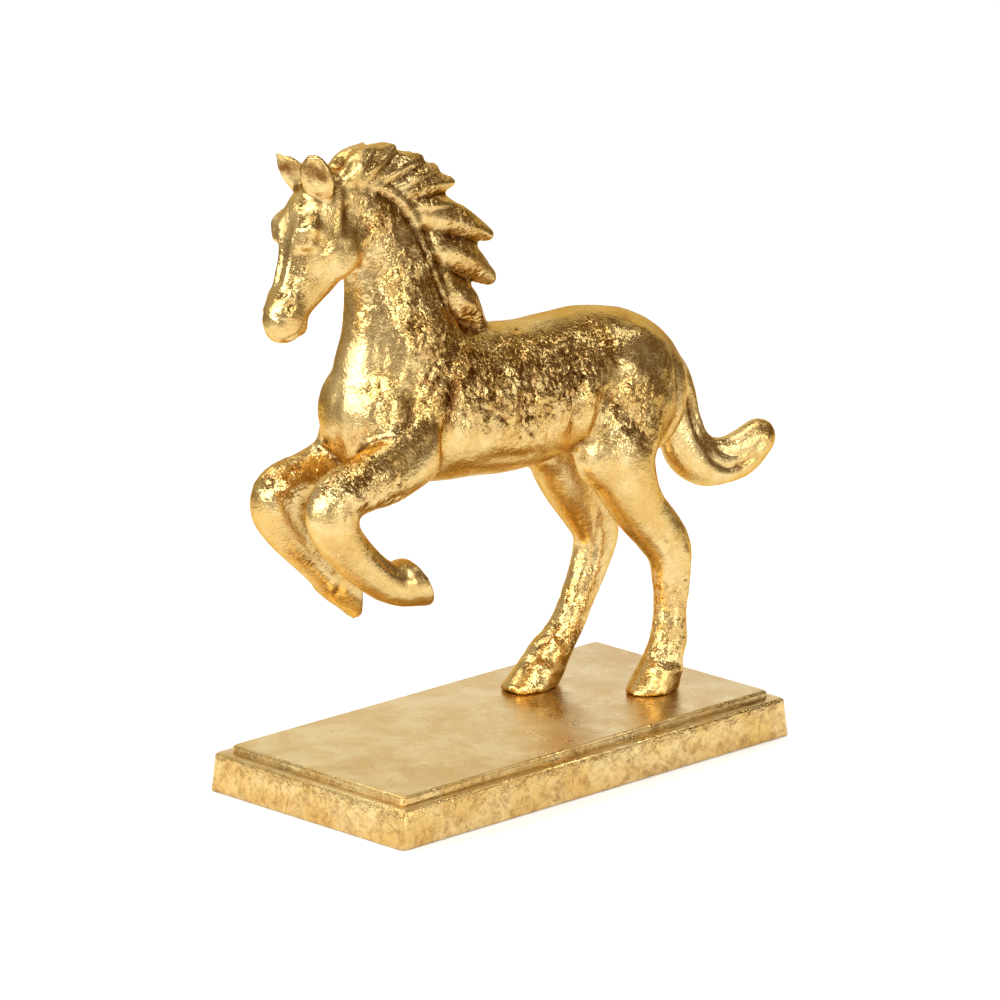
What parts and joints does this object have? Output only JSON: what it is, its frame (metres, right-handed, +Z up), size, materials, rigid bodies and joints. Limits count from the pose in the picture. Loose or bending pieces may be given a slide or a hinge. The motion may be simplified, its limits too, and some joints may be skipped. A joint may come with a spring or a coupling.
{
  "type": "cast iron horse sculpture",
  "caption": "Gilded cast iron horse rearing in a canter on its hind legs, with flowing mane and curled tail, on a stepped rectangular plinth.",
  "frame": {"origin": "centre of the plinth's underside", "axes": "+Z up, the horse faces -X, its right side is +Y"},
  "size_m": [0.1834, 0.0756, 0.1844],
  "materials": {
    "gilt_horse": "gold leaf, crinkled and glossy, with brown wear in the hollows",
    "gilt_plinth": "gold leaf, satin, mottled, with small dark pits at the sides"
  },
  "bodies": {
    "root": {"horse": "gilt_horse", "plinth": "gilt_plinth"}
  },
  "joints": []
}
